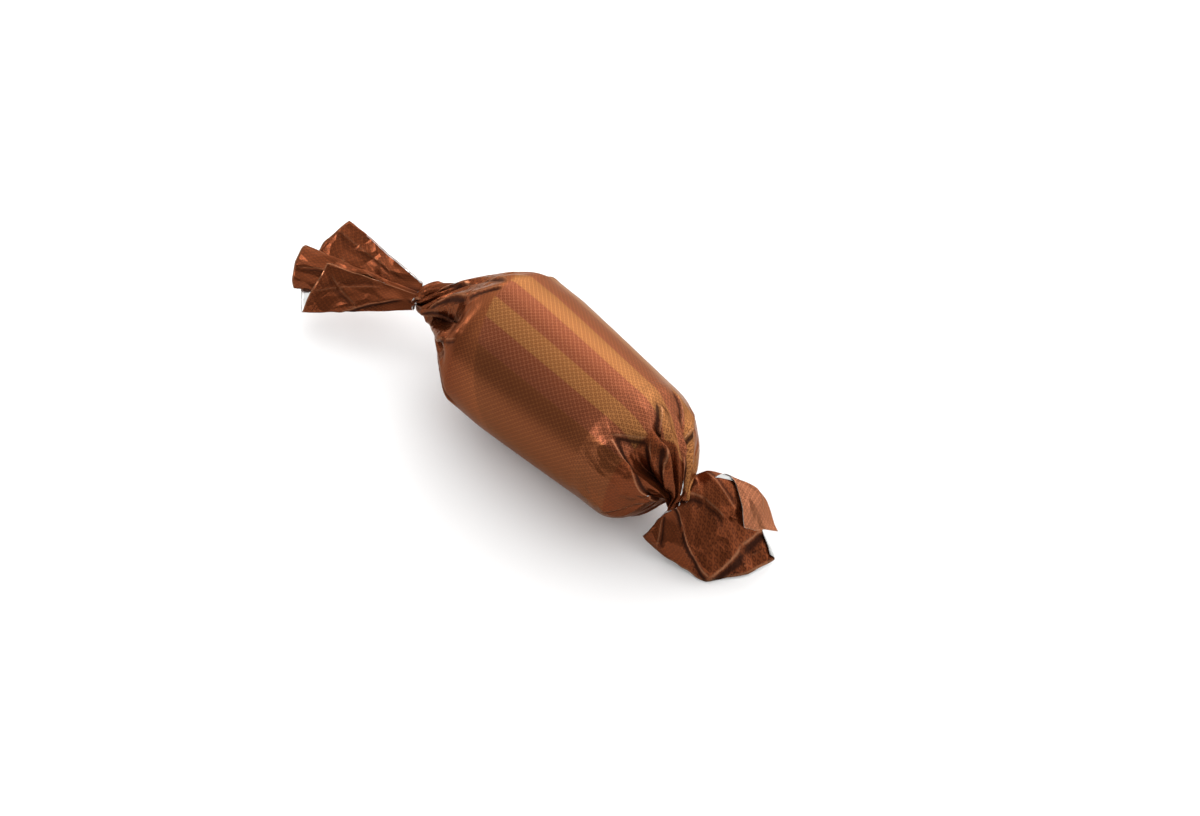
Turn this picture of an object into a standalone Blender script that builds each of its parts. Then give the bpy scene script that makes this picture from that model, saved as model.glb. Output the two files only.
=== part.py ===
"""A caramel in a twisted wrapper, as one closed solid.

The sweet lies along X on the floor plane z = 0, with its origin in the middle of the flat
strip it rests on. A barrel-shaped body narrows over pleated shoulders to two twisted necks,
and past each neck the wrapper opens into a thin, ruffled fan.

The whole surface is one loft. Its rings run from deep inside the -X fan, out over that
fan's rim, along the necks and the body, and over the +X fan's rim back inside.
"""

import math

import bmesh
import bpy
import numpy as np

MM = 0.001

# Driving dimensions, in metres.
BODY_RADIUS = 9.7 * MM
BODY_TAPER = 0.35 * MM  # how much slimmer the barrel gets from its middle to its +X end
AXIS_HEIGHT = 9.5 * MM  # a little under the radius, which leaves a flat strip to rest on
LEFT_BODY_END = -11.5 * MM  # where the barrel starts to narrow, at each end
RIGHT_BODY_END = 13.0 * MM
NECK_RADIUS = 2.2 * MM
NECK_LENGTH = 0.8 * MM  # how far the film runs on along a neck before its fan opens
WALL = 0.7 * MM  # thickness of a fan's wrapper
FLOOR_GAP = 0.15 * MM  # what the fans keep clear of the floor

AROUND = 80  # points on a ring
BODY_RINGS = 6
SHOULDER_RINGS = 12
FAN_RINGS = 8
PLEATS = 8
PLEAT_DEPTH = 0.24  # of the local radius, at the neck
PLEAT_ONSET = 1.2  # the power of the way to the neck by which the pleats deepen
SHOULDER_TWIST = math.radians(80)  # both ends turn the same way, by the right hand about +X
FAN_FLARE = 1.3  # the power of the way to the cut edge by which a fan opens
THROAT_SHARE = 0.25  # the least that is left of a fan's radius inside its wall
THROAT_DEPTH = 1.2  # where the hollow closes, counted in the first fan ring's distance from the neck

# Each end: the middle of its neck, how quickly its shoulder narrows (1 is a straight cone and
# more is blunter), and the cut edge of its fan. The edge is given by points that it passes
# through, each with the clock angle, seen from +X, of the neck's film that runs out to it.
LEFT_NECK = np.array([-23.2, -1.8, 8.8]) * MM
LEFT_BLUNTNESS = 1.35
LEFT_EDGE = {
    5: (-36.8, -1.2, 6.6),
    40: (-37.2, 0.2, 10.4),
    62: (-37.4, -3.6, 8.0),
    85: (-38.8, -5.8, 8.9),
    110: (-37.0, -7.6, 6.6),
    135: (-34.4, -7.4, 9.6),
    180: (-34.0, -11.0, 4.6),
    225: (-35.0, -9.4, 3.4),
    270: (-35.4, -5.6, 4.8),
    315: (-36.4, -4.4, 3.8),
}
RIGHT_NECK = np.array([21.6, -0.6, 8.8]) * MM
RIGHT_BLUNTNESS = 2.6
RIGHT_EDGE = {
    0: (21.6, 6.9, 5.6),
    30: (24.0, 7.4, 8.4),
    55: (27.0, 7.6, 5.8),
    80: (29.4, 7.4, 3.0),
    105: (30.6, 4.6, 0.4),
    145: (28.8, 0.2, 0.4),
    175: (26.0, -3.0, 0.4),
    205: (22.0, -4.4, 1.4),
    235: (19.4, -4.6, 2.8),
    270: (22.2, -1.2, 1.2),
    300: (20.6, 2.0, 1.0),
    330: (22.4, 4.4, 1.6),
}


def smooth(t):
    """An ease from 0 to 1 with level ends."""
    t = np.clip(t, 0.0, 1.0)
    return t * t * (3 - 2 * t)


def ring_angles():
    return np.arange(AROUND) * 2 * math.pi / AROUND


def pleat(angle):
    """An uneven ruffle round a ring, from -1 in a valley to 1 on a ridge."""
    spread = angle + 0.22 * np.sin(2 * angle + 0.7) + 0.1 * np.sin(3 * angle + 2.0)
    return 0.8 * np.sin(PLEATS * spread) + 0.2 * np.sin(3 * angle + 1.1)


def cut_edge(edge, angles):
    """The smooth closed curve through an edge's points, read at these angles."""
    clocks = np.radians(sorted(edge))
    points = np.array([edge[clock] for clock in sorted(edge)]) * MM
    count = len(points)
    read = np.empty((AROUND, 3))
    for row, angle in enumerate(angles):
        turned = clocks[0] + (angle - clocks[0]) % (2 * math.pi)
        start = int(np.searchsorted(clocks, turned, side="right")) - 1
        after = clocks[start + 1] if start + 1 < count else clocks[0] + 2 * math.pi
        t = (turned - clocks[start]) / (after - clocks[start])
        p0, p1, p2, p3 = (points[(start + step) % count] for step in (-1, 0, 1, 2))
        slope = 0.5 * (p2 - p0), 0.5 * (p3 - p1)
        read[row] = (
            (2 * t**3 - 3 * t**2 + 1) * p1
            + (t**3 - 2 * t**2 + t) * slope[0]
            + (3 * t**2 - 2 * t**3) * p2
            + (t**3 - t**2) * slope[1]
        )
    return read


def barrel_radius(x):
    return BODY_RADIUS - BODY_TAPER * max(0.0, x / RIGHT_BODY_END)


def ring_at(centre, radius, angles):
    """A ring across X. Nothing of it reaches below the floor."""
    ring = np.stack(
        [
            np.full(AROUND, centre[0]),
            centre[1] + radius * np.cos(angles),
            centre[2] + radius * np.sin(angles),
        ],
        axis=1,
    )
    ring[:, 2] = np.maximum(ring[:, 2], 0.0)
    return ring


def body_ring(x):
    return ring_at((x, 0.0, AXIS_HEIGHT), barrel_radius(x), ring_angles())


def shoulder_ring(share, body_end, neck, bluntness):
    """A ring between the barrel (share 0) and the neck (share 1), pleated, twisted and bent to it."""
    narrowing = (1 - share**bluntness) ** (1 / bluntness)
    radius = NECK_RADIUS + (barrel_radius(body_end) - NECK_RADIUS) * narrowing
    radius = radius * (1 + PLEAT_DEPTH * share**PLEAT_ONSET * pleat(ring_angles()))
    bend = smooth(share)
    centre = (
        body_end + (neck[0] - body_end) * share,
        bend * neck[1],
        AXIS_HEIGHT + bend * (neck[2] - AXIS_HEIGHT),
    )
    # The ring turns as a whole, so that each pleat stays on its own points all the way.
    return ring_at(centre, radius, ring_angles() + SHOULDER_TWIST * share)


def fan_surface(start, neck, edge):
    """Rings of a fan's outside, from the neck's last ring to the cut edge."""
    centre = edge.mean(axis=0)
    outward = (centre - neck) / np.linalg.norm(centre - neck)
    rings = []
    for step in range(1, FAN_RINGS + 1):
        t = step / FAN_RINGS
        middle = neck + (centre - neck) * t + outward * NECK_LENGTH * math.sin(math.pi * t)
        # The film first runs on along the neck and then opens like a trumpet.
        opened = t**FAN_FLARE
        ring = middle + (start - neck) * (1 - opened) + (edge - centre) * opened
        ring[:, 2] = np.maximum(ring[:, 2], FLOOR_GAP)
        rings.append(ring)
    return rings


def inside_of(rings, neck):
    """The same fan's inner wall, from the cut edge back down to a closed throat."""
    inner = []
    for ring in reversed(rings[1:]):
        centre = ring.mean(axis=0)
        away = ring - centre
        reach = np.linalg.norm(away, axis=1, keepdims=True)
        inner.append(centre + away * np.maximum(1 - WALL / reach, THROAT_SHARE))
    throat = neck + (rings[0].mean(axis=0) - neck) * THROAT_DEPTH
    return inner, throat


def end_rings(body_end, neck, bluntness, edge):
    """Everything past one end of the barrel: shoulder rings, fan rings, inner rings and throat."""
    # Shares crowd towards the neck, where the radius changes fastest.
    shares = np.sin(np.linspace(0, math.pi / 2, SHOULDER_RINGS + 1)[1:])
    shoulder = [shoulder_ring(share, body_end, neck, bluntness) for share in shares]
    fan = fan_surface(shoulder[-1], neck, cut_edge(edge, ring_angles() + SHOULDER_TWIST))
    inner, throat = inside_of(fan, neck)
    return shoulder + fan + inner, throat


def loft(name, rings, first_pole, last_pole):
    """One closed mesh through the rings, each end shut by a fan of triangles."""
    mesh = bmesh.new()
    loops = [[mesh.verts.new(point) for point in ring] for ring in rings]
    for near, far in zip(loops, loops[1:]):
        for i in range(AROUND):
            j = (i + 1) % AROUND
            mesh.faces.new((near[i], near[j], far[j], far[i]))
    for loop, pole in ((loops[0], first_pole), (loops[-1], last_pole)):
        tip = mesh.verts.new(pole)
        for i in range(AROUND):
            mesh.faces.new((loop[i], loop[(i + 1) % AROUND], tip))
    bmesh.ops.recalc_face_normals(mesh, faces=mesh.faces[:])
    bmesh.ops.triangulate(mesh, faces=mesh.faces[:])
    data = bpy.data.meshes.new(name)
    mesh.to_mesh(data)
    mesh.free()
    made = bpy.data.objects.new(name, data)
    bpy.context.scene.collection.objects.link(made)
    return made


def wrapper_material():
    """Copper-brown printed film with a soft metallic gloss."""
    material = bpy.data.materials.new("printed_film")
    material.use_nodes = True
    shader = material.node_tree.nodes["Principled BSDF"]
    shader.inputs["Base Color"].default_value = (0.32, 0.105, 0.045, 1.0)
    shader.inputs["Roughness"].default_value = 0.35
    shader.inputs["Metallic"].default_value = 0.35
    return material


def build_sweet():
    body = [body_ring(x) for x in np.linspace(LEFT_BODY_END, RIGHT_BODY_END, BODY_RINGS)]
    left, left_throat = end_rings(LEFT_BODY_END, LEFT_NECK, LEFT_BLUNTNESS, LEFT_EDGE)
    right, right_throat = end_rings(RIGHT_BODY_END, RIGHT_NECK, RIGHT_BLUNTNESS, RIGHT_EDGE)
    return loft("wrapped_caramel", left[::-1] + body + right, left_throat, right_throat)


def main():
    for leftover in list(bpy.data.objects):
        bpy.data.objects.remove(leftover)
    sweet = build_sweet()
    sweet.data.materials.append(wrapper_material())
    sweet.data.shade_smooth()
    sweet.data.set_sharp_from_angle(angle=math.radians(40))


main()
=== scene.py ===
"""A twist-wrapped caramel: striped copper-brown film with a silver lining, on a pale floor.

The wrapper is one sheet of film. It starts as a flat rectangle, keeps that rectangle as its
UV map, and is folded in code: round the barrel, in over two pleated shoulders, through two
twisted necks, and out into two crumpled fans. Lengths of the fold are in millimetres.
"""

import math
from typing import NamedTuple

import bpy
import numpy as np
from bpy.props import FloatProperty, FloatVectorProperty, PointerProperty
from bpy.types import Operator, Panel, PropertyGroup
from mathutils import Matrix, Vector


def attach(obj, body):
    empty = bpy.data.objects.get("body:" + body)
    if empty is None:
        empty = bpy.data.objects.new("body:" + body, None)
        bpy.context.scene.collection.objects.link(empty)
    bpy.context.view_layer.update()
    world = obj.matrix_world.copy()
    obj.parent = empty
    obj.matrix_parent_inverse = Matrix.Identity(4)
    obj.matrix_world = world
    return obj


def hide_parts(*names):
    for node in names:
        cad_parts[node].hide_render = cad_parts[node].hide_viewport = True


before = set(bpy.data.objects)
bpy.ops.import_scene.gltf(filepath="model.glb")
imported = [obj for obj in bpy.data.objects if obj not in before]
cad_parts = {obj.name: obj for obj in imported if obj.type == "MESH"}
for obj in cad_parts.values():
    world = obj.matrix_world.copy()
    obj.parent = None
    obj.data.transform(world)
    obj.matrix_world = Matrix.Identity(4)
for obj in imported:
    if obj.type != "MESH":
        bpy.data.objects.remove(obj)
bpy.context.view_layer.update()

bl_info = {
    "name": "Wrapped Caramel",
    "version": (1, 0, 0),
    "blender": (4, 5, 0),
    "location": "3D View > Sidebar > Caramel",
    "description": "Builds a twist-wrapped caramel in striped, silver-lined film",
    "category": "Object",
}

MM = 0.001
NODE = "wrapped_caramel"

# The barrel, in millimetres. Its axis lies along X.
AXIS_HEIGHT = 9.5
LEFT_EDGE_X = -10.5  # where the barrel ends and a shoulder starts
RIGHT_EDGE_X = 10.5
BARREL_X = (-12.0, -6.0, 0.0, 6.0, 12.0)
BARREL_R = (9.85, 9.85, 9.45, 9.0, 8.55)
SEAM_ANGLE = -10.0  # degrees round X from +Y, where the outer lengthwise edge of the film lies
LAP = 9.0  # how far the film overlaps itself
TUBE_RADIUS = 10.0  # of the rolled film, which sets its width
OUTER_RISE = 0.22  # how far the film's outer edge stands off the barrel
OUTER_EASE = 3.0  # how far past the lap it is down on the barrel again
INNER_SINK = 0.12  # how far the inner edge lies in under it
INNER_EASE = 2.0
NECK_LAP = 0.5  # how much of that is left at a neck

# Rows of the film by stretch: name, film length and number of rows.
STRETCHES = (
    ("left_fan", 14.5, 38),
    ("left_strand", 4.5, 12),
    ("left_shoulder", 16.0, 42),
    ("barrel", 21.0, 16),
    ("right_shoulder", 15.0, 44),
    ("right_strand", 1.6, 6),
    ("right_fan", 13.5, 38),
)
COLUMNS = 246
BARREL_CROWDING = 1.6  # the power by which the barrel's rows crowd at its left end
VALLEY_CROWDING = 9.0  # degrees: a valley this narrow to each side has its columns twice as close
CROWDING_REACH = 2.0  # degrees past a valley's sides
FILM_STEPS = 2001  # fine steps across the film from which the columns are worked out
FILM_LENGTH = sum(row[1] for row in STRETCHES)
FILM_WIDTH = 2 * math.pi * TUBE_RADIUS + LAP
MARKS = tuple(sum(row[1] for row in STRETCHES[:n]) for n in range(len(STRETCHES) + 1))
FLOOR_GAP = 0.12  # what the film keeps clear of the floor, so that its lining does too
TRIANGLE_LIMIT = 200_000

# The necks: where the strand starts and ends, its radius, and how far the film has turned there.
LEFT_STRAND = np.array([(-22.6, -1.7, 8.9), (-25.2, -2.5, 8.7)])
LEFT_STRAND_RADIUS = (2.3, 2.1)
LEFT_TURNS = (85.0, 140.0)
RIGHT_STRAND = np.array([(20.4, -0.9, 9.2), (21.3, -1.2, 8.3)])
RIGHT_STRAND_RADIUS = (1.45, 1.5)
RIGHT_TURNS = (40.0, 95.0)

# Valleys pressed into a shoulder: clock angle on the barrel, half width in degrees, depth as a
# share of the local radius, and where along the shoulder it starts and is full (0 barrel, 1 neck).
LEFT_VALLEYS = (
    (38, 9, 0.50, 0.00, 0.60),
    (66, 8, 0.55, 0.30, 0.80),
    (122, 22, 0.60, 0.15, 0.75),
    (160, 9, 0.34, 0.10, 0.70),
    (204, 18, 0.45, 0.20, 0.90),
    (250, 16, 0.50, 0.10, 0.90),
    (300, 16, 0.45, 0.25, 0.90),
    (345, 14, 0.45, 0.15, 0.90),
)
RIGHT_VALLEYS = (
    (14, 14, 0.42, 0.35, 0.90),
    (48, 8, 0.40, 0.22, 0.60),
    (84, 9, 0.34, 0.20, 0.60),
    (116, 20, 0.44, 0.14, 0.60),
    (150, 9, 0.38, 0.55, 0.90),
    (196, 16, 0.45, 0.50, 0.90),
    (256, 18, 0.48, 0.30, 0.90),
    (310, 18, 0.50, 0.30, 0.90),
)
# How far a shoulder bulges past its plain curve: clock angle and share of the local radius.
LEFT_FULLNESS = ((0, 0.0), (90, 0.0), (180, -0.04), (270, 0.0), (360, 0.0))
RIGHT_FULLNESS = (
    (0, 0.0),
    (60, -0.02),
    (120, 0.02),
    (160, 0.10),
    (200, 0.22),
    (250, 0.16),
    (300, 0.0),
    (360, 0.0),
)
LEAN = 0.6  # how far the ridges lie over the valleys beside them
VALLEY_SHAPE = 0.85  # the power of the way down a valley's side by which it deepens
SWELL = 0.22  # how high the film swells beside a valley, as a share of its depth
SWELL_PLACE = 1.15  # where it does, and how widely, in the valley's half widths
SWELL_REACH = 0.55
LEFT_FADE = (5.0, 6.0)  # how far into a fan the pleats' painted shade still reaches, and how slowly that fades
RIGHT_FADE = (3.0, 4.0)

# The left fan lies pressed flat. Its rim is given as film position, then how far along the fan,
# up across it and towards its front the point lies. None takes its film position from the path.
LEFT_FAN_ROOT = np.array([-25.3, -2.6, 8.5])
LEFT_FAN_AXES = np.array([(-1.019, -0.348, -0.123), (-0.321, 0.7225, 0.611), (0.470, -0.438, 0.766)])
LEFT_RIM = (
    (0.0, 11.6, 0.7, 2.8),
    (None, 12.3, -3.0, 2.8),
    (6.7, 12.8, -6.6, 1.6),
    (None, 14.2, -3.0, 0.2),
    (14.5, 14.0, 1.2, -1.0),
    (None, 12.9, 1.4, -1.5),
    (21.0, 13.2, -4.0, -1.8),
    (None, 13.2, -3.8, -2.2),
    (None, 12.6, 2.0, -2.7),
    (33.0, 11.0, 6.8, -2.6),
    (None, 13.4, 3.1, -1.8),
    (None, 14.0, -1.0, -1.3),
    (42.0, 13.8, -3.6, -1.0),
    (47.5, 13.6, 0.9, -0.8),
    (53.0, 13.4, -3.4, -0.6),
    (None, 14.6, 0.9, -0.3),
    (60.5, 15.1, 2.0, 0.2),
    (None, 15.5, 1.5, 0.9),
    (None, 15.9, -0.6, 1.5),
    (None, 15.5, -2.8, 1.5),
    (70.0, 14.9, -3.8, 1.0),
    (72.0, 14.3, -3.6, 0.3),
)
LEFT_PINCH = 0.28  # the fan's size where it starts, as a share of its size at the rim
LEFT_PINCH_BACK = 0.8  # how far behind its root that is
# The right fan droops to the floor like a skirt. Its rim is film position, then x, y and z.
RIGHT_RIM = (
    (0.0, 30.0, 5.0, 1.5),
    (None, 30.5, 5.6, 0.6),
    (None, 29.5, 1.5, 0.3),
    (None, 27.0, -2.5, 0.2),
    (None, 22.0, -4.2, 1.2),
    (18.5, 18.6, -4.8, 3.2),
    (None, 21.0, -3.0, 2.2),
    (25.0, 24.2, -0.6, 3.6),
    (None, 21.4, -0.6, 1.6),
    (31.0, 19.6, 0.6, 0.8),
    (None, 22.5, 1.2, 2.4),
    (38.0, 25.2, 1.6, 3.8),
    (None, 22.6, 2.8, 1.4),
    (44.0, 20.4, 4.0, 0.8),
    (None, 22.8, 4.0, 2.4),
    (None, 24.4, 3.8, 4.4),
    (None, 22.4, 5.6, 2.4),
    (None, 24.0, 7.4, 1.4),
    (65.0, 29.3, 7.6, 3.0),
    (72.0, 28.1, 2.7, 7.0),
)
# Half way out, the same film passes through this line. Its first points puff the skirt up in
# front, and its last three are the fold over which a flap lies back on the front.
RIGHT_BELLY = (
    (0.0, 25.2, 6.2, 8.4),
    (2.0, 23.0, 5.2, 9.8),
    (5.0, 21.7, 3.8, 10.2),
    (9.5, 20.4, 1.2, 9.6),
    (14.0, 21.4, -1.6, 8.2),
    (18.5, 20.0, -3.2, 6.6),
    (25.0, 20.6, -1.2, 6.0),
    (31.0, 20.0, 0.6, 5.4),
    (38.0, 22.2, 1.8, 5.8),
    (44.0, 20.8, 3.0, 5.2),
    (50.0, 22.4, 4.0, 6.4),
    (57.0, 23.0, 6.6, 6.4),
    (64.0, 25.4, 7.7, 6.4),
    (68.0, 25.2, 6.9, 8.6),
    (72.0, 22.9, 5.0, 10.5),
)
RIGHT_PINCH = 0.28  # the fan's size where it starts, as a share of its size half way out
RIGHT_START = 1.2  # how strongly the film runs straight on there
RIGHT_PUFF = np.array([5.2, -5.0, 7.5])  # which way the skirt swells as it passes its middle line
PUFF_SPAN = (-1.0, 16.0)  # the film positions between which it does
PUFF_EASE = 6.0
RIM_STEPS = 1441  # fine steps along a rim
CORNER_STEPS = 12  # of them to each side of a corner, over which it is rounded

# Folds pressed into the film. Each steps up along a straight line on the flat film and slopes
# back: where the line starts and ends (across, along), the slope's length, to the left of the
# line's direction or, if negative, to its right, and the step's height.
FOLDS = (
    # left neck and shoulder
    (16.0, 33.0, 10.0, 21.0, -3.0, 0.45),
    (10.0, 21.0, 2.5, 13.5, -2.5, 0.40),
    (3.0, 12.5, 7.0, 4.5, -2.5, 0.45),
    (17.3, 34.0, 19.5, 29.0, -2.5, 0.35),
    (19.5, 29.0, 18.3, 21.0, -2.5, 0.40),
    (19.2, 18.7, 24.0, 30.0, -2.5, 0.45),
    (30.8, 23.0, 27.4, 30.7, 3.0, 0.50),
    (27.4, 30.7, 26.2, 34.0, 3.0, 0.25),
    (33.0, 27.0, 36.0, 36.0, -2.0, 0.25),
    (9.0, 25.0, 8.0, 35.0, 2.0, 0.25),
    # left fan
    (34.8, 0.0, 36.0, 12.0, 1.2, 0.12),
    (37.5, 3.0, 40.5, 9.0, 2.0, 0.20),
    (66.0, 0.5, 62.5, 10.0, 2.5, 0.22),
    (69.0, 3.5, 64.5, 6.5, 1.5, 0.15),
    (64.0, 11.5, 62.0, 8.0, 1.2, 0.20),
    (1.5, 1.5, 5.0, 6.5, 2.0, 0.20),
    (3.6, 0.0, 1.0, 9.0, -1.5, 0.15),
    # right shoulder
    (14.2, 58.6, 18.0, 62.4, 2.5, 0.50),
    (18.0, 62.4, 20.8, 67.8, 2.0, 0.50),
    (23.2, 58.1, 25.2, 62.1, -4.0, 0.50),
    (25.2, 62.1, 32.0, 68.7, -4.0, 0.60),
    (23.2, 58.1, 19.2, 60.9, 3.0, 0.35),
    (19.2, 60.9, 22.9, 67.5, 3.0, 0.40),
    (5.3, 59.5, 12.1, 64.4, -1.6, 0.45),
    (12.1, 64.4, 13.0, 70.5, -1.4, 0.45),
    (9.5, 57.5, 10.5, 62.0, 1.6, 0.30),
    (36.0, 60.0, 33.0, 67.0, 2.5, 0.30),
    (44.0, 58.0, 46.0, 66.0, -2.5, 0.30),
    # right fan
    (15.5, 77.5, 12.5, 82.5, 4.0, 0.45),
    (12.5, 82.5, 9.3, 86.0, 4.0, 0.55),
    (9.3, 86.0, 4.3, 84.6, 4.0, 0.50),
    (4.3, 84.6, 0.0, 83.8, 4.0, 0.50),
    (12.5, 79.6, 7.9, 81.2, 1.6, 0.30),
    (7.9, 81.2, 6.0, 82.6, 1.6, 0.25),
    (11.0, 77.6, 8.0, 79.5, 1.5, 0.25),
    (6.0, 78.5, 3.8, 82.0, -1.8, 0.25),
    (17.5, 80.0, 16.0, 85.5, -2.0, 0.30),
)

FOLD_RISE = 0.45  # how far a fold takes to step up
FOLD_END = 0.2  # the share of its length over which a fold dies away at each end
FOLD_LEFT = 0.3  # where on that ease its line ends, so that a little of the fold runs on
FAR = 0.9  # past this distance a fold no longer marks the print
FAR_EASE = 0.3
FULL_STEP = 0.4  # the height from which a fold marks the print fully
LEAST_FOLD = 0.02  # where a fold is weaker than this, it leaves the print to its neighbours

# How strongly the film is crumpled, coarsely and finely: left fan, right fan, and the shoulders.
COARSE_CRUMPLE = np.array([0.003, 0.016, 0.008, 0.010])
FINE_CRUMPLE = np.array([0.003, 0.010, 0.006, 0.007])
CRINKLE = np.array([0.7, 1.0, 0.6, 0.5])  # how strongly the fine facets show there
COARSE_CREASES = (9, (4.0, 9.0), 11)  # how many sets of creases, how far apart, and their seed
FINE_CREASES = (10, (1.5, 3.2), 5)
# Where each crumpled area starts, and the way over which it grows to its full strength.
LEFT_FAN_START = (-24.0, 6.0)  # along X
LEFT_SHOULDER_START = (-9.0, 6.0)
RIGHT_SHOULDER_START = (9.0, 5.0)
RIGHT_FAN_START = (16.0, 3.0)
RIGHT_FAN_TOP = (9.8, 2.5)  # below this height
FLAP_START = (4.5, 2.0)  # past this Y lies the flap, which is smoother
FLAP_SMOOTHNESS = 0.8
NECK_START = (1.0, 4.0)  # away from the outer end of a neck
RIGHT_FAN_NECK_START = (1.5, 4.0)

# The print: places across and along the flat film, in millimetres.
FIRST_STRIPE = 9.74  # where the count of stripes starts
MAUVE_SHARE = 0.55  # of each pair of stripes
WIDE_BAND = (24.75, 44.0)
PANEL = (33.8, 60.5)  # the stretch of the film, from its left rim, that carries stripes
PANEL_SLANT = 0.45  # how its start runs off across the film
PANEL_PLACE = 16.7  # the film position where PANEL holds
PANEL_TAIL = 1.2  # how its end runs on, on the outer side of that place
LEAD_IN = 2.5  # to each side of its start, over which plain film turns lighter towards it
LEAD_SHARE = 0.8
LEAD_TONE = 1.35  # of the wide band's colour
TAIL_EASE = 2.0  # how far it takes to turn plain again
MARGIN = (64.0, 75.0)  # past these places across and along, the film is a paler margin
MARGIN_EASE = 2.0
BAND_STRIPES = 8  # stripe widths from FIRST_STRIPE after which the count goes on past the band
FIRST_PHASE = 0.25  # where in a pair of stripes the count starts
BAND_EDGE = 0.1  # how sharply the inks end
STRIPE_EDGE = 0.12
PANEL_EDGE = 0.3
CLOUD_TONES = (0.9, 1.1)  # between which an ink varies
CLOUD_SCALE = 90.0
CLOUD_DETAIL = 3.0
SCREEN_ANGLE = 0.7  # radians that the printing screen is turned on the film
SCREEN_UNEVENNESS = 0.08  # how far its rings stray from even rows
RING_RADIUS = 0.30  # of the printing screen's rings, in dot pitches
RING_WIDTH = 0.17
DOT_INK = 0.80  # how densely the rings are inked
MAUVE_INK = 0.15  # how much denser they are on mauve
CREST = (0.16, 0.17)  # the middle and the reach of the highlight painted along a fold's crest, from its line
CREASE = (-0.32, 0.48)  # and of the shade painted as a dark crease beside it
CREASE_DEPTH = 1.4  # how strongly that shade is painted
RIM_HIGHLIGHT = (0.15, 0.1)  # how far in from the film's edges the painted highlight reaches, and how softly that ends
CREST_HIGHLIGHT = 0.28  # how far the print turns to the painted highlight on a crest
VALLEY_SHADE = (0.12, 0.34)  # the depth from which shade is painted into a pleat, and over which more so
PAINTED_SHADE = 0.9  # how far the print is darkened by shade painted deep in a valley or a crease
FILM_METAL = 0.75
FILM_SPECULAR = 0.3
EDGE_TINT = (0.72, 0.52, 0.40, 1.0)  # the film's reflection at a grazing angle
FILM_ROUGHNESS = 0.29
CRINKLE_GLOSS = 0.13  # how much glossier crinkled film is
CLOUD_ROUGHNESS = 0.10
CAVITY_ROUGHNESS = 0.2
LINING_TONES = (0.92, 1.06)
LINING_METAL = 0.95
LINING_ROUGHNESS = 0.22
LINING_CLOUDING = 0.12
LINING_CLOUD_SCALE = 150.0
LINING_CRINKLE = 0.6

# Fine relief, in metres. The facets' rows: distance metric, facets in a metre, slope and angle.
FACETS = (("MANHATTAN", 180.0, 0.20, 0.3), ("CHEBYCHEV", 460.0, 0.10, 1.0))
FACET_DRIFT = 0.004  # how far the facets' net is bent
DRIFT_SCALE = 120.0
RIPPLE = 0.00007
RIPPLE_SCALE = 260.0
RIPPLE_DETAIL = 4.0

# The stage, in metres and degrees.
CAMERA_AZIMUTH = 47
CAMERA_ELEVATION = 50
CAMERA_LENS = 84.66
CAMERA_NEAR = 0.01
AIM_RIGHT = 0.00422  # how far beside and below the barrel's middle the camera aims
AIM_DOWN = 0.00193
FLOOR_SIZE = 3.0
FLOOR_ROUGHNESS = 0.6
SOFTBOX_PLACE = Vector((-0.18, 0.34, 0.28))
SIDE_LIGHT_PLACE = Vector((-0.30, -0.13, 0.17))
SIDE_LIGHT_SIZE = 0.4  # of the softbox's
SKY_WAY = Vector((-0.10, 0.94, 0.33))  # towards which the light from all round grows
SKY_START = 0.95  # how far on the other side it starts to
SKY_SPAN = 1.95
SKY_POWER = 1.5


class End(NamedTuple):
    """One end of the wrapper, from the barrel to its fan."""

    side: int  # -1 for the end towards -X, 1 for the other
    edge_x: float
    neck: np.ndarray
    radii: tuple
    turns: tuple
    valleys: tuple
    fullness: tuple
    outset: float  # how far the shoulder runs straight on from the barrel
    inset: float  # how far before the neck it already runs the neck's way


LEFT = End(
    side=-1,
    edge_x=LEFT_EDGE_X,
    neck=LEFT_STRAND,
    radii=LEFT_STRAND_RADIUS,
    turns=LEFT_TURNS,
    valleys=LEFT_VALLEYS,
    fullness=LEFT_FULLNESS,
    outset=7.0,
    inset=9.0,
)
RIGHT = End(
    side=1,
    edge_x=RIGHT_EDGE_X,
    neck=RIGHT_STRAND,
    radii=RIGHT_STRAND_RADIUS,
    turns=RIGHT_TURNS,
    valleys=RIGHT_VALLEYS,
    fullness=RIGHT_FULLNESS,
    outset=20.0,
    inset=1.5,
)


def smooth(t):
    """An ease from 0 to 1 with level ends."""
    t = np.clip(t, 0.0, 1.0)
    return t * t * (3 - 2 * t)


def past(value, limit):
    """An ease from 0 where a value reaches the limit's start to 1 once it is past its way too."""
    start, way = limit
    return smooth((value - start) / way)


def short_of(value, limit):
    """The same ease as the value falls below the limit's start."""
    start, way = limit
    return smooth((start - value) / way)


def mix(a, b, t):
    return a + (b - a) * t


def unit(v):
    return v / np.linalg.norm(v, axis=-1, keepdims=True)


def hermite(a, slope_a, b, slope_b, t):
    return (
        (2 * t**3 - 3 * t**2 + 1) * a
        + (t**3 - 2 * t**2 + t) * slope_a
        + (3 * t**2 - 2 * t**3) * b
        + (t**3 - t**2) * slope_b
    )


def clock(w):
    """The clock angle on the barrel of a film position, in degrees."""
    return SEAM_ANGLE + np.degrees(w / TUBE_RADIUS)


def lap_lift(w):
    """How far the film stands off the barrel: its outer edge lies on top of its inner edge."""
    outer = 1 - smooth(w / (LAP + OUTER_EASE))
    inner = smooth((w - FILM_WIDTH + LAP + INNER_EASE) / INNER_EASE)
    return OUTER_RISE * outer - INNER_SINK * inner


def cross_circle(radius, degrees):
    """A circle across X."""
    angle = np.radians(degrees)
    return np.stack([0 * angle, radius * np.cos(angle), radius * np.sin(angle)], axis=-1)


def turned_to(axis):
    """The rotation that takes +X to this direction by the shortest way."""
    v = np.cross([1.0, 0.0, 0.0], axis)
    k = np.array([[0, -v[2], v[1]], [v[2], 0, -v[0]], [-v[1], v[0], 0]])
    return np.eye(3) + k + k @ k / (1 + axis[0])


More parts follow.
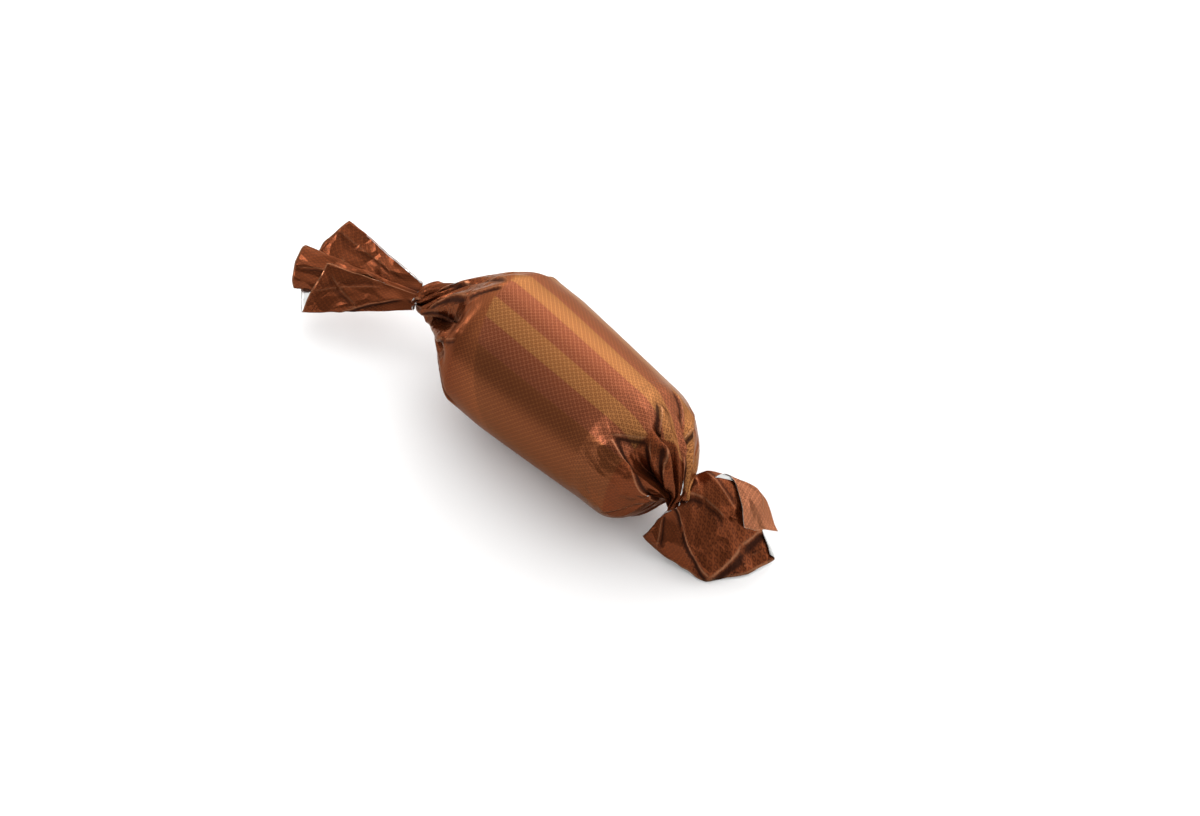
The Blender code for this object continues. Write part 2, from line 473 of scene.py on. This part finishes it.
def barrel(w, x):
    point = cross_circle(np.interp(x, BARREL_X, BARREL_R) + lap_lift(w), clock(w))
    point[..., 0] = x
    point[..., 2] += AXIS_HEIGHT
    return point


def valley_depth(valleys, w, share):
    """How deep the pleats are, as a share of the local radius."""
    depth = np.zeros(np.broadcast(w, share).shape)
    for centre, half, deepest, onset, full in valleys:
        across = np.abs((clock(w) - centre + 180) % 360 - 180)
        along = smooth((share - onset) / (full - onset))
        notch = np.clip(1 - across / half, 0, 1)
        swell = np.exp(-(((across - half * SWELL_PLACE) / (half * SWELL_REACH)) ** 2))
        depth += deepest * along * (notch**VALLEY_SHAPE - SWELL * swell)
    return depth


def pleated(out, axis, depth, side):
    """Points about an axis, pushed in towards it by the pleats and turned over the valleys."""
    turn = (side * LEAN * depth)[..., None]
    out = out * np.cos(turn) + np.cross(axis, out) * np.sin(turn)
    return out * (1 - depth)[..., None]


def neck_ring(w, end, t):
    """The round strand of film at a share t along a neck, about its own centre, and its axis."""
    axis = unit(end.neck[1] - end.neck[0])
    radius = mix(*end.radii, t) + NECK_LAP * lap_lift(w)
    ring = cross_circle(radius, clock(w) + mix(*end.turns, t))
    return ring @ turned_to(axis * end.side).T, axis


def shoulder(w, t, end):
    """From the barrel's edge (t 0) to the neck (t 1)."""
    share = t[..., None]
    ring, neck_axis = neck_ring(w, end, 0.0)
    rate = math.radians(end.turns[1] - end.turns[0]) / np.linalg.norm(end.neck[1] - end.neck[0])
    heading = neck_axis + rate * end.side * np.cross(neck_axis, ring)
    slope = np.array([end.side * end.outset, 0, 0])
    start = barrel(w, np.full(w.shape, end.edge_x))
    point = hermite(start, slope, end.neck[0] + ring, heading * end.inset, share)
    middle = np.array([end.edge_x, 0, AXIS_HEIGHT])
    centre = hermite(middle, slope, end.neck[0], neck_axis * end.inset, share)
    axis = unit(mix(np.array([end.side, 0.0, 0.0]), neck_axis, share))
    bulge = np.interp(clock(w) % 360, *zip(*end.fullness)) * np.sin(math.pi * t) ** 2
    away = point - centre
    along = np.sum(away * axis, axis=-1, keepdims=True) * axis
    out = (away - along) * (1 + bulge)[..., None]
    return centre + along + pleated(out, axis, valley_depth(end.valleys, w, t), end.side)


def rim_curve(rim, w):
    """The rim at film positions w: straight from point to point, the corners just rounded."""
    points = np.array([row[1:] for row in rim])
    path = np.concatenate([[0], np.cumsum(np.linalg.norm(np.diff(points, axis=0), axis=1))])
    known = [(path[i], row[0]) for i, row in enumerate(rim) if row[0] is not None]
    film = np.interp(path, *zip(*known))
    fine = np.linspace(0, film[-1], RIM_STEPS)
    kernel = np.hanning(2 * CORNER_STEPS + 3)[1:-1]
    kernel /= kernel.sum()
    read = []
    for k in range(3):
        line = np.pad(np.interp(fine, film, points[:, k]), CORNER_STEPS, mode="edge")
        read.append(np.interp(w, fine, np.convolve(line, kernel, "valid")))
    return np.stack(read, axis=-1)


def pinched(w, end):
    """Where a fan starts: the shape of the fan's own folds, drawn in to the size of the neck."""
    if end is LEFT:
        flat = rim_curve(LEFT_RIM, w) * LEFT_PINCH
        flat[..., 0] = -LEFT_PINCH_BACK
        return LEFT_FAN_ROOT + flat @ LEFT_FAN_AXES
    centre = np.mean([row[1:] for row in RIGHT_BELLY], axis=0)
    return RIGHT_STRAND[1] + (rim_curve(RIGHT_BELLY, w) - centre) * RIGHT_PINCH


def strand(w, t, end):
    """Along a neck: the round, pleated strand goes over into the folds of the fan."""
    ring, axis = neck_ring(w, end, t)
    ring = pleated(ring, axis, valley_depth(end.valleys, w, np.ones(w.shape)), end.side)
    share = t[..., None]
    return mix(mix(*end.neck, share) + ring, pinched(w, end), share)


def fan(w, t, end):
    """From the neck (t 0) to the rim (t 1)."""
    start = pinched(w, end)
    share = t[..., None]
    if end is LEFT:
        return mix(start, LEFT_FAN_ROOT + rim_curve(LEFT_RIM, w) @ LEFT_FAN_AXES, share)
    rim = rim_curve(RIGHT_RIM, w)
    belly = rim_curve(RIGHT_BELLY, w)
    puffed = short_of(w, (PUFF_SPAN[1], PUFF_EASE)) * past(w, (PUFF_SPAN[0], PUFF_EASE))
    over = (rim - start) / 2 + RIGHT_PUFF * puffed[..., None]
    inner = hermite(start, (belly - start) * RIGHT_START, belly, over, np.clip(share * 2, 0, 1))
    outer = hermite(belly, over, rim, rim - belly, np.clip(share * 2 - 1, 0, 1))
    return np.where(share < 0.5, inner, outer)


def folded(w, v):
    """Where each point of the flat film comes to lie: w across it, v along it."""
    makers = (
        lambda w, t: fan(w, 1 - t, LEFT),
        lambda w, t: strand(w, 1 - t, LEFT),
        lambda w, t: shoulder(w, 1 - t, LEFT),
        lambda w, t: barrel(w, mix(LEFT_EDGE_X, RIGHT_EDGE_X, t)),
        lambda w, t: shoulder(w, t, RIGHT),
        lambda w, t: strand(w, t, RIGHT),
        lambda w, t: fan(w, t, RIGHT),
    )
    slack = 1e-4
    point = np.zeros(w.shape + (3,))
    for make, begin, end in zip(makers, MARKS, MARKS[1:]):
        t = (v - begin) / (end - begin)
        here = (t > -slack) & (t < 1 + slack)
        point[here] = make(w[here], np.clip(t[here], 0, 1))
    return point


def valleys_at(w, v):
    """The pleats' depth anywhere on the film. They die away into the fans."""
    left_share = np.clip((MARKS[3] - v) / (MARKS[3] - MARKS[2]), 0, 1)
    right_share = np.clip((v - MARKS[4]) / (MARKS[5] - MARKS[4]), 0, 1)
    left_fade = smooth((v - MARKS[1] + LEFT_FADE[0]) / LEFT_FADE[1])
    right_fade = smooth((MARKS[6] + RIGHT_FADE[0] - v) / RIGHT_FADE[1])
    left = valley_depth(LEFT_VALLEYS, w, left_share) * left_fade
    right = valley_depth(RIGHT_VALLEYS, w, right_share) * right_fade
    return np.maximum(left, right)


def outward(w, v):
    """The direction in which the printed side of the film faces."""
    small = 0.02
    across = folded(np.minimum(w + small, FILM_WIDTH), v) - folded(np.maximum(w - small, 0), v)
    along = folded(w, np.minimum(v + small, FILM_LENGTH)) - folded(w, np.maximum(v - small, 0))
    normal = np.cross(across, along)
    return normal / np.maximum(np.linalg.norm(normal, axis=1, keepdims=True), 1e-9)


def pressed(w, v):
    """What FOLDS do at each point: the lift, the signed distance to the nearest fold, its strength."""
    lift = np.zeros(w.shape)
    nearest = np.full(w.shape, FAR)
    strength = np.zeros(w.shape)
    for w0, v0, w1, v1, reach, step in FOLDS:
        length = math.hypot(w1 - w0, v1 - v0)
        run = np.array([w1 - w0, v1 - v0]) / length
        along = ((w - w0) * run[0] + (v - v0) * run[1]) / length
        aside = ((v - v0) * run[0] - (w - w0) * run[1]) * math.copysign(1, reach)
        ends = smooth((0.5 - np.abs(along - 0.5)) / FOLD_END + FOLD_LEFT)
        slope = np.clip(1 - aside / abs(reach), 0, 1)
        lift += step * ends * smooth(aside / FOLD_RISE + 0.5) * slope
        closer = (np.abs(aside) < np.abs(nearest)) & (ends > LEAST_FOLD)
        nearest = np.where(closer, aside, nearest)
        own = ends * min(step / FULL_STEP, 1.0) * smooth((FAR - np.abs(aside)) / FAR_EASE)
        strength = np.where(closer, own, strength)
    return lift, nearest, strength


def wander(point, size, rng):
    """A slow random field in space, about -1 to 1."""
    waves = 4
    usual_peak = 2.2
    total = 0
    for _ in range(waves):
        way = unit(rng.normal(size=3)) * 2 * math.pi / size
        total = total + np.sin(point @ way + rng.uniform(0, 2 * math.pi))
    return total / usual_peak


def creases(point, count, sizes, seed):
    """Offsets in space that break a surface into flat facets, each with a straight crease between.

    The same offset moves every layer at a place, so layers that lie on each other stay in order.
    """
    bend, bend_size = 0.12, 6.0
    patch_contrast, patch_size = 0.9, 3.0
    rng = np.random.default_rng(seed)
    offset = np.zeros(point.shape)
    for _ in range(count):
        size = rng.uniform(*sizes)
        across = point @ unit(rng.normal(size=3)) / size + rng.uniform()
        across = across + bend * wander(point, bend_size, rng)
        ridge = 4 * np.abs(across % 1 - 0.5) - 1
        where = smooth(0.5 + patch_contrast * wander(point, size * patch_size, rng))
        offset += unit(rng.normal(size=3)) * (size * ridge * where)[:, None]
    return offset


def crumpled_areas(point):
    """Where the film is crumpled: left fan, right fan, left shoulder and right shoulder, each 0 to 1."""
    x, y, z = point.T
    from_left = np.linalg.norm(point - LEFT_STRAND[1], axis=1)
    from_right = np.linalg.norm(point - RIGHT_STRAND[1], axis=1)
    left_fan = short_of(x, LEFT_FAN_START) * past(from_left, NECK_START)
    right_fan = past(x, RIGHT_FAN_START) * short_of(z, RIGHT_FAN_TOP)
    right_fan = right_fan * past(from_right, RIGHT_FAN_NECK_START)
    right_fan = right_fan * (1 - FLAP_SMOOTHNESS * past(y, FLAP_START))
    left_shoulder = short_of(x, LEFT_SHOULDER_START) * past(from_left, NECK_START)
    right_shoulder = past(x, RIGHT_SHOULDER_START) * past(from_right, NECK_START)
    return np.stack([left_fan, right_fan, left_shoulder, right_shoulder])


def crumple(point):
    """How far each point is pushed off its fold: most in the fans, none on the barrel."""
    areas = crumpled_areas(point)
    coarse = (COARSE_CRUMPLE @ areas)[:, None]
    fine = (FINE_CRUMPLE @ areas)[:, None]
    return creases(point, *COARSE_CREASES) * coarse + creases(point, *FINE_CREASES) * fine


def film_rows():
    """The film length at each row, finer where the film folds tightly."""
    rows = [0.0]
    for name, length, count in STRETCHES:
        share = np.arange(1, count + 1) / count
        if name == "barrel":
            share = share**BARREL_CROWDING
        rows.extend(rows[-1] + length * share)
    return np.array(rows)


def film_columns():
    """The film position at each column. Columns crowd at the valleys, where the film turns sharply."""
    w = np.linspace(0, FILM_WIDTH, FILM_STEPS)
    crowd = np.ones(w.shape)
    for centre, half, *_ in LEFT_VALLEYS + RIGHT_VALLEYS:
        across = (clock(w) - centre + 180) % 360 - 180
        crowd += (VALLEY_CROWDING / half) * np.exp(-((across / (half + CROWDING_REACH)) ** 2))
    share = np.concatenate([[0], np.cumsum((crowd[1:] + crowd[:-1]) / 2)])
    return np.interp(np.linspace(0, 1, COLUMNS + 1), share / share[-1], w)


def flat_film(rows, columns):
    """A flat grid with these rows and columns, and each vertex's place across and along the film."""
    bpy.ops.object.select_all(action="DESELECT")
    bpy.ops.mesh.primitive_grid_add(
        x_subdivisions=len(columns) - 1, y_subdivisions=len(rows) - 1, size=1, calc_uvs=True
    )
    film = bpy.context.object
    film.name = film.data.name = "film_wrapper"
    flat = np.empty(len(film.data.vertices) * 3, np.float32)
    film.data.vertices.foreach_get("co", flat)
    flat = flat.reshape(-1, 3).astype(float)
    w = np.interp(flat[:, 0] + 0.5, np.linspace(0, 1, len(columns)), columns)
    v = np.interp(flat[:, 1] + 0.5, np.linspace(0, 1, len(rows)), rows)
    return film, w, v


def keep_flat_shape(mesh, w, v):
    """The flat film as the UV map, in metres."""
    corner = np.empty(len(mesh.loops), np.int32)
    mesh.loops.foreach_get("vertex_index", corner)
    uv = np.stack([w[corner], v[corner]], axis=-1) * MM
    mesh.uv_layers[0].name = "film"
    mesh.uv_layers[0].data.foreach_set("uv", uv.astype(np.float32).ravel())


def fold_film():
    """The film, folded, with what the print's shader needs in its attributes."""
    film, w, v = flat_film(film_rows(), film_columns())
    mesh = film.data
    keep_flat_shape(mesh, w, v)
    point = folded(w, v)
    lift, nearest, strength = pressed(w, v)
    crinkle = (CRINKLE[:, None] * crumpled_areas(point)).max(axis=0)
    point += crumple(point) + outward(w, v) * lift[:, None]
    point[:, 2] = np.maximum(point[:, 2], FLOOR_GAP)
    mesh.vertices.foreach_set("co", (point * MM).astype(np.float32).ravel())
    # Painted shade: the print is darkened along the pleats' valleys, more so where they are deep.
    painted_fold_shade = past(valleys_at(w, v), VALLEY_SHADE)
    shades = (("painted_fold_shade", painted_fold_shade), ("crinkle", crinkle), ("fold", nearest), ("fold_strength", strength))
    for name, shade in shades:
        layer = mesh.attributes.new(name, "FLOAT", "POINT")
        layer.data.foreach_set("value", shade.astype(np.float32))
    mesh.update()
    return film


def give_wall(film, thickness):
    """The sheet's thickness, with the lining as the material of its inner side and its cut edge."""
    wall = film.modifiers.new("wall", "SOLIDIFY")
    wall.thickness = thickness
    wall.offset = -1
    wall.material_offset = 1
    wall.material_offset_rim = 1
    bpy.ops.object.modifier_apply(modifier=wall.name)
    film.data.shade_smooth()


class Value:
    """A number on a shader socket. Python's operators on it add Math nodes."""

    def __init__(self, tree, socket):
        self.tree = tree
        self.socket = socket

    def math(self, operation, *others):
        node = self.tree.add("ShaderNodeMath", {"operation": operation}, {})
        for index, value in enumerate((self,) + others):
            self.tree.feed(node.inputs[index], value)
        return Value(self.tree, node.outputs[0])

    def __add__(self, other):
        return self.math("ADD", other)

    __radd__ = __add__

    def __mul__(self, other):
        return self.math("MULTIPLY", other)

    __rmul__ = __mul__

    def __sub__(self, other):
        return self.math("SUBTRACT", other)

    def __rsub__(self, other):
        return (self * -1.0) + other

    def __truediv__(self, other):
        return self.math("DIVIDE", other)

    def fraction(self):
        return self.math("FRACT")

    def size(self):
        return self.math("ABSOLUTE")

    def limited(self):
        return self.math("MINIMUM", 1.0).math("MAXIMUM", 0.0)

    def above(self, edge, softness):
        """0 below the edge and 1 above it, over a ramp this wide."""
        return ((self - edge) / softness + 0.5).limited()

    def near(self, middle, reach):
        """1 at the middle, falling evenly to 0 at this reach on each side."""
        return 1 - ((self - middle).size() / reach).limited()


class Tree:
    """A node tree. Its methods add nodes, and feed values or links into sockets."""

    def __init__(self, node_tree):
        self.node_tree = node_tree
        self.nodes = node_tree.nodes

    def feed(self, socket, value):
        if isinstance(value, Value):
            value = value.socket
        if isinstance(value, bpy.types.NodeSocket):
            self.node_tree.links.new(value, socket)
        else:
            socket.default_value = value

    def add(self, kind, settings, inputs):
        """A node of this type: its settings are set first, then its sockets' values or links."""
        node = self.nodes.new(kind)
        for name, value in settings.items():
            setattr(node, name, value)
        for name, value in inputs.items():
            self.feed(node.inputs[name], value)
        return node

    def value(self, kind, settings, inputs, output):
        return Value(self, self.add(kind, settings, inputs).outputs[output])

    def attribute(self, name):
        return self.value("ShaderNodeAttribute", {"attribute_name": name}, {}, "Fac")

    def mixed(self, share, first, second):
        node = self.add("ShaderNodeMix", {"data_type": "RGBA"}, {})
        self.feed(node.inputs["Factor"], share)
        self.feed(node.inputs[6], first)
        self.feed(node.inputs[7], second)
        return node.outputs[2]


def new_material(name):
    material = bpy.data.materials.new(name)
    material.use_nodes = True
    return material, Tree(material.node_tree)


def opaque(colour):
    return (*colour, 1.0)


def shaded(colour, factor):
    """This colour, lighter or darker by a factor."""
    return opaque([c * factor for c in colour])


def clouded(t, cloud, colour, tones):
    """A colour that varies between a darker and a lighter tone of itself."""
    dark, light = tones
    return t.mixed(cloud, shaded(colour, dark), shaded(colour, light))


def stripes(across, along, stripe):
    """Where the print is mauve, where its wide band is, where it is striped at all, and a lead-in.

    The lead-in rises along the film through the panel's slanted start, and drops at its end.
    """
    past_band = across.above(WIDE_BAND[1], BAND_EDGE)
    skipped = BAND_STRIPES * stripe - (WIDE_BAND[1] - FIRST_STRIPE)
    phase = ((across - FIRST_STRIPE + past_band * skipped) / (2 * stripe) + FIRST_PHASE).fraction()
    mauve = ((MAUVE_SHARE / 2 - (phase - 0.5).size()) * (2 * stripe)).above(0.0, STRIPE_EDGE)
    band = across.above(WIDE_BAND[0], BAND_EDGE) * (1 - past_band)
    slanted = along - PANEL_SLANT * (across - PANEL_PLACE)
    tail = along - PANEL_TAIL * (PANEL_PLACE - across).math("MAXIMUM", 0.0)
    panel = slanted.above(PANEL[0], PANEL_EDGE) * (1 - tail.above(PANEL[1], PANEL_EDGE))
    lead = slanted * (1 - tail.above(PANEL[1] - TAIL_EASE / 2, TAIL_EASE))
    return mauve * (1 - band), band, panel, lead


def cells(t, place, angle, distance, scale, unevenness):
    """How far a place is from the middle of its cell, in a net of cells turned by this angle."""
    turned = t.add(
        "ShaderNodeVectorRotate", {"rotation_type": "Z_AXIS"}, {"Vector": place, "Angle": angle}
    )
    return t.value(
        "ShaderNodeTexVoronoi",
        {"feature": "F1", "distance": distance},
        {"Vector": turned.outputs[0], "Scale": scale, "Randomness": unevenness},
        "Distance",
    )


def noise(t, place, scale, detail):
    return t.value("ShaderNodeTexNoise", {}, {"Vector": place, "Scale": scale, "Detail": detail}, "Fac")


def bumped(t, height):
    """The normal of a surface with this height, in metres."""
    return t.add("ShaderNodeBump", {}, {"Strength": 1.0, "Distance": 1.0, "Height": height}).outputs[0]


def screen_dots(t, place, pitch):
    """The printing screen: a fine field of dark rings, turned a little on the film."""
    cell = cells(t, place, SCREEN_ANGLE, "EUCLIDEAN", 1.0 / pitch, SCREEN_UNEVENNESS)
    return cell.near(RING_RADIUS, RING_WIDTH)


def crinkles(t, place):
    """Height of the film's small flat facets and the creases between them, in metres."""
    drift = t.add("ShaderNodeTexNoise", {}, {"Vector": place, "Scale": DRIFT_SCALE, "Detail": 1.0})
    shift = t.add(
        "ShaderNodeVectorMath", {"operation": "SCALE"}, {0: drift.outputs["Color"], "Scale": FACET_DRIFT}
    )
    bent = t.add("ShaderNodeVectorMath", {"operation": "ADD"}, {0: place, 1: shift.outputs[0]})
    height = 0.0
    for distance, scale, slope, angle in FACETS:
        height = cells(t, bent.outputs[0], angle, distance, scale, 1.0) * (slope / scale) + height
    return height


def printed_film(settings):
    """Copper ink on metallised film: stripes over the barrel, and fine printing dots all over. Shade is
    painted into valleys and creases, and highlights along crests and the film's cut edges.
    """
    material, t = new_material("printed_film")
    shader = t.nodes["Principled BSDF"].inputs
    place = t.add("ShaderNodeUVMap", {"uv_map": "film"}, {}).outputs[0]
    split = t.add("ShaderNodeSeparateXYZ", {}, {"Vector": place})
    across = Value(t, split.outputs[0]) / MM
    along = Value(t, split.outputs[1]) / MM
    mauve, band, panel, lead = stripes(across, along, settings.stripe / MM)
    cloud = noise(t, place, CLOUD_SCALE, CLOUD_DETAIL)
    inks = (settings.orange, settings.mauve, settings.bronze, settings.plain)
    orange, purple, bronze, plain = (clouded(t, cloud, ink, CLOUD_TONES) for ink in inks)
    margin = across.above(MARGIN[0], MARGIN_EASE) * along.above(MARGIN[1], MARGIN_EASE)
    plain = t.mixed(margin, plain, opaque(settings.margin))
    lead = lead.above(PANEL[0] - LEAD_IN, 2 * LEAD_IN) * LEAD_SHARE
    plain = t.mixed(lead, plain, shaded(settings.bronze, LEAD_TONE))
    base = t.mixed(panel, plain, t.mixed(band, t.mixed(mauve, orange, purple), bronze))
    dots = screen_dots(t, place, settings.dot_pitch)
    base = t.mixed(dots * (DOT_INK + MAUVE_INK * mauve * panel), base, opaque(settings.ink))
    fold = t.attribute("fold")
    strength = t.attribute("fold_strength")
    from_side = across.math("MINIMUM", FILM_WIDTH - across)
    from_edge = from_side.math("MINIMUM", along).math("MINIMUM", FILM_LENGTH - along)
    # Painted highlight: a pale line along each fold's crest and along the film's cut edges.
    crest = (strength * fold.near(*CREST)).math("MAXIMUM", 1 - from_edge.above(*RIM_HIGHLIGHT))
    # Painted shade: a dark line beside each fold's line, joined below with the pleats' painted shade.
    crease = (strength * fold.near(*CREASE) * CREASE_DEPTH).limited()
    painted_fold_shade = crease.math("MAXIMUM", t.attribute("painted_fold_shade"))
    base = t.mixed(crest * CREST_HIGHLIGHT, base, opaque(settings.crest))
    base = t.mixed(painted_fold_shade * PAINTED_SHADE, base, opaque(settings.shade))
    t.feed(shader["Base Color"], base)
    crinkle = t.attribute("crinkle")
    roughness = FILM_ROUGHNESS - CRINKLE_GLOSS * crinkle + CLOUD_ROUGHNESS * cloud
    t.feed(shader["Roughness"], roughness + CAVITY_ROUGHNESS * painted_fold_shade)
    t.feed(shader["Metallic"], FILM_METAL)
    t.feed(shader["Specular IOR Level"], FILM_SPECULAR)
    t.feed(shader["Specular Tint"], EDGE_TINT)
    ripple = noise(t, place, RIPPLE_SCALE, RIPPLE_DETAIL)
    height = crinkles(t, place) * crinkle * settings.crinkle + ripple * RIPPLE
    t.feed(shader["Normal"], bumped(t, height))
    return material


def film_lining(settings):
    """The bare metallised inside."""
    material, t = new_material("silver_lining")
    shader = t.nodes["Principled BSDF"].inputs
    place = t.add("ShaderNodeUVMap", {"uv_map": "film"}, {}).outputs[0]
    cloud = noise(t, place, LINING_CLOUD_SCALE, CLOUD_DETAIL)
    t.feed(shader["Base Color"], clouded(t, cloud, settings.lining, LINING_TONES))
    t.feed(shader["Metallic"], LINING_METAL)
    t.feed(shader["Roughness"], LINING_ROUGHNESS + LINING_CLOUDING * cloud)
    t.feed(shader["Normal"], bumped(t, crinkles(t, place) * LINING_CRINKLE))
    return material


def rgb(red, green, blue):
    """A colour given in the usual 0 to 255 steps, as the linear values that a shader takes."""
    return tuple(((c / 255 + 0.055) / 1.055) ** 2.4 for c in (red, green, blue))


def ink_colour(name, description, *steps):
    return FloatVectorProperty(
        name=name, description=description, subtype="COLOR", size=3, min=0.0, max=1.0, default=rgb(*steps)
    )


class CaramelWrapperSettings(PropertyGroup):
    """The wrapper's film and its print."""

    thickness: FloatProperty(
        name="Film thickness", description="Thickness of the wrapper's film", default=0.06 * MM, unit="LENGTH"
    )
    stripe: FloatProperty(
        name="Stripe width",
        description="Half of the width of one orange and one mauve stripe together",
        default=3.0 * MM,
        unit="LENGTH",
    )
    dot_pitch: FloatProperty(
        name="Dot pitch",
        description="From one ring of the printing screen to the next",
        default=0.5 * MM,
        unit="LENGTH",
    )
    crinkle: FloatProperty(
        name="Crinkle",
        description="How strongly the film's ends are crinkled",
        default=1.0,
        min=0.0,
        max=3.0,
        subtype="FACTOR",
    )
    orange: ink_colour("Orange stripe", "Colour of the lighter stripes", 150, 97, 55)
    mauve: ink_colour("Mauve stripe", "Colour of the darker stripes", 134, 75, 49)
    bronze: ink_colour("Wide band", "Colour of the wide band under the stripes", 122, 69, 39)
    plain: ink_colour("Plain film", "Colour of the film outside the stripes", 116, 59, 32)
    margin: ink_colour("Margin", "Colour of the paler margin on one fan", 160, 100, 70)
    ink: ink_colour("Screen ink", "Colour of the printing screen's rings", 58, 22, 13)
    # Painted highlight: the pale colour painted along fold crests and the film's cut edges.
    crest: ink_colour("Painted crest highlight", "Colour of the highlight painted along a crease and the film's cut edges", 205, 150, 112)
    # Painted shade: the near-black brown painted deep in valleys and creases.
    shade: ink_colour("Fold shade", "Colour of the shade painted deep in a fold", 34, 13, 8)
    lining: ink_colour("Lining", "Colour of the film's silver inside", 203, 203, 201)


class CaramelStageSettings(PropertyGroup):
    """The floor, the light and the camera."""

    floor: FloatVectorProperty(
        name="Floor",
        description="Colour of the floor",
        subtype="COLOR",
        size=3,
        min=0.0,
        max=1.0,
        default=(0.93, 0.925, 0.92),
    )
    lamp_power: FloatProperty(
        name="Lamp power", description="Power of the softbox", default=0.4, unit="POWER"
    )
    side_power: FloatProperty(
        name="Side power", description="Power of the small light off the left end", default=0.30, unit="POWER"
    )
    lamp_size: FloatProperty(
        name="Lamp size", description="Side of the square softbox", default=0.30, unit="LENGTH"
    )
    fill: FloatProperty(
        name="Fill", description="Strength of the light from all round", default=0.33, min=0.0
    )
    sky: FloatProperty(
        name="Sky", description="Strength of the light that grows towards the back", default=1.95, min=0.0
    )
    distance: FloatProperty(
        name="Camera distance", description="From the camera to the caramel", default=0.34, unit="LENGTH"
    )


def build_wrapper(settings):
    """The folded film with its print and lining, standing for the CAD solid."""
    film = fold_film()
    film.data.materials.append(printed_film(settings))
    film.data.materials.append(film_lining(settings))
    give_wall(film, settings.thickness)
    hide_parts(NODE)
    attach(film, "root")
    if sum(len(face.vertices) - 2 for face in film.data.polygons) >= TRIANGLE_LIMIT:
        raise RuntimeError("the wrapper has too many triangles")
    return film


def add_floor(colour):
    bpy.ops.object.select_all(action="DESELECT")
    bpy.ops.mesh.primitive_plane_add(size=FLOOR_SIZE, location=(0, 0, 0))
    floor = bpy.context.object
    floor.name = "floor"
    material, t = new_material("pale_floor")
    shader = t.nodes["Principled BSDF"].inputs
    t.feed(shader["Base Color"], opaque(colour))
    t.feed(shader["Roughness"], FLOOR_ROUGHNESS)
    floor.data.materials.append(material)


def add_camera(distance):
    """A camera above the front right, aimed a little beside the caramel's middle."""
    azimuth = math.radians(CAMERA_AZIMUTH)
    elevation = math.radians(CAMERA_ELEVATION)
    back = Vector(
        (
            math.sin(azimuth) * math.cos(elevation),
            -math.cos(azimuth) * math.cos(elevation),
            math.sin(elevation),
        )
    )
    right = Vector((math.cos(azimuth), math.sin(azimuth), 0))
    up = back.cross(right)
    bpy.ops.object.camera_add()
    camera = bpy.context.object
    camera.name = camera.data.name = "camera"
    camera.data.lens = CAMERA_LENS
    camera.data.clip_start = CAMERA_NEAR
    target = Vector((0, 0, AXIS_HEIGHT * MM)) + right * AIM_RIGHT - up * AIM_DOWN
    camera.location = target + back * distance
    camera.rotation_euler = Matrix((right, up, back)).transposed().to_euler()
    bpy.context.scene.camera = camera


def add_lamp(name, place, power, size):
    """A square lamp that faces the caramel."""
    aim = (-place).to_track_quat("-Z", "Y").to_euler()
    bpy.ops.object.light_add(type="AREA", location=place, rotation=aim)
    lamp = bpy.context.object
    lamp.name = lamp.data.name = name
    lamp.data.energy = power
    lamp.data.size = size


def add_light(settings):
    """A softbox at the back, a small light off the left end, and a sky that grows to the back."""
    world = bpy.data.worlds.new("studio")
    world.use_nodes = True
    t = Tree(world.node_tree)
    way = t.add("ShaderNodeTexCoord", {}, {})
    toward = t.value(
        "ShaderNodeVectorMath",
        {"operation": "DOT_PRODUCT"},
        {0: way.outputs["Generated"], 1: SKY_WAY},
        "Value",
    )
    share = ((toward + SKY_START) / SKY_SPAN).limited()
    background = t.nodes["Background"].inputs
    t.feed(background["Strength"], settings.fill + share.math("POWER", SKY_POWER) * settings.sky)
    t.feed(background["Color"], (1, 1, 1, 1))
    bpy.context.scene.world = world
    add_lamp("softbox", SOFTBOX_PLACE, settings.lamp_power, settings.lamp_size)
    add_lamp("side_light", SIDE_LIGHT_PLACE, settings.side_power, settings.lamp_size * SIDE_LIGHT_SIZE)
    bpy.context.scene.view_settings.view_transform = "Standard"


class OBJECT_OT_caramel_wrapper_add(Operator):
    """Fold the caramel's film wrapper"""

    bl_idname = "object.caramel_wrapper_add"
    bl_label = "Wrapper"

    def execute(self, context):
        build_wrapper(context.scene.caramel_wrapper)
        return {"FINISHED"}


class OBJECT_OT_caramel_stage_add(Operator):
    """Set out the floor, the light and the camera"""

    bl_idname = "object.caramel_stage_add"
    bl_label = "Stage"

    def execute(self, context):
        settings = context.scene.caramel_stage
        add_floor(settings.floor)
        add_light(settings)
        add_camera(settings.distance)
        return {"FINISHED"}


class VIEW3D_PT_caramel(Panel):
    """The caramel's parts and their settings"""

    bl_label = "Wrapped Caramel"
    bl_space_type = "VIEW_3D"
    bl_region_type = "UI"
    bl_category = "Caramel"

    def draw(self, context):
        groups = (
            (context.scene.caramel_wrapper, OBJECT_OT_caramel_wrapper_add),
            (context.scene.caramel_stage, OBJECT_OT_caramel_stage_add),
        )
        for settings, operator in groups:
            box = self.layout.box()
            for name in settings.__annotations__:
                box.prop(settings, name)
            box.operator(operator.bl_idname)


CLASSES = (
    CaramelWrapperSettings,
    CaramelStageSettings,
    OBJECT_OT_caramel_wrapper_add,
    OBJECT_OT_caramel_stage_add,
    VIEW3D_PT_caramel,
)


def register():
    for cls in CLASSES:
        bpy.utils.register_class(cls)
    bpy.types.Scene.caramel_wrapper = PointerProperty(type=CaramelWrapperSettings)
    bpy.types.Scene.caramel_stage = PointerProperty(type=CaramelStageSettings)


def unregister():
    del bpy.types.Scene.caramel_stage
    del bpy.types.Scene.caramel_wrapper
    for cls in reversed(CLASSES):
        bpy.utils.unregister_class(cls)


def main():
    register()
    bpy.ops.object.caramel_wrapper_add()
    bpy.ops.object.caramel_stage_add()


if __name__ == "__main__":
    main()
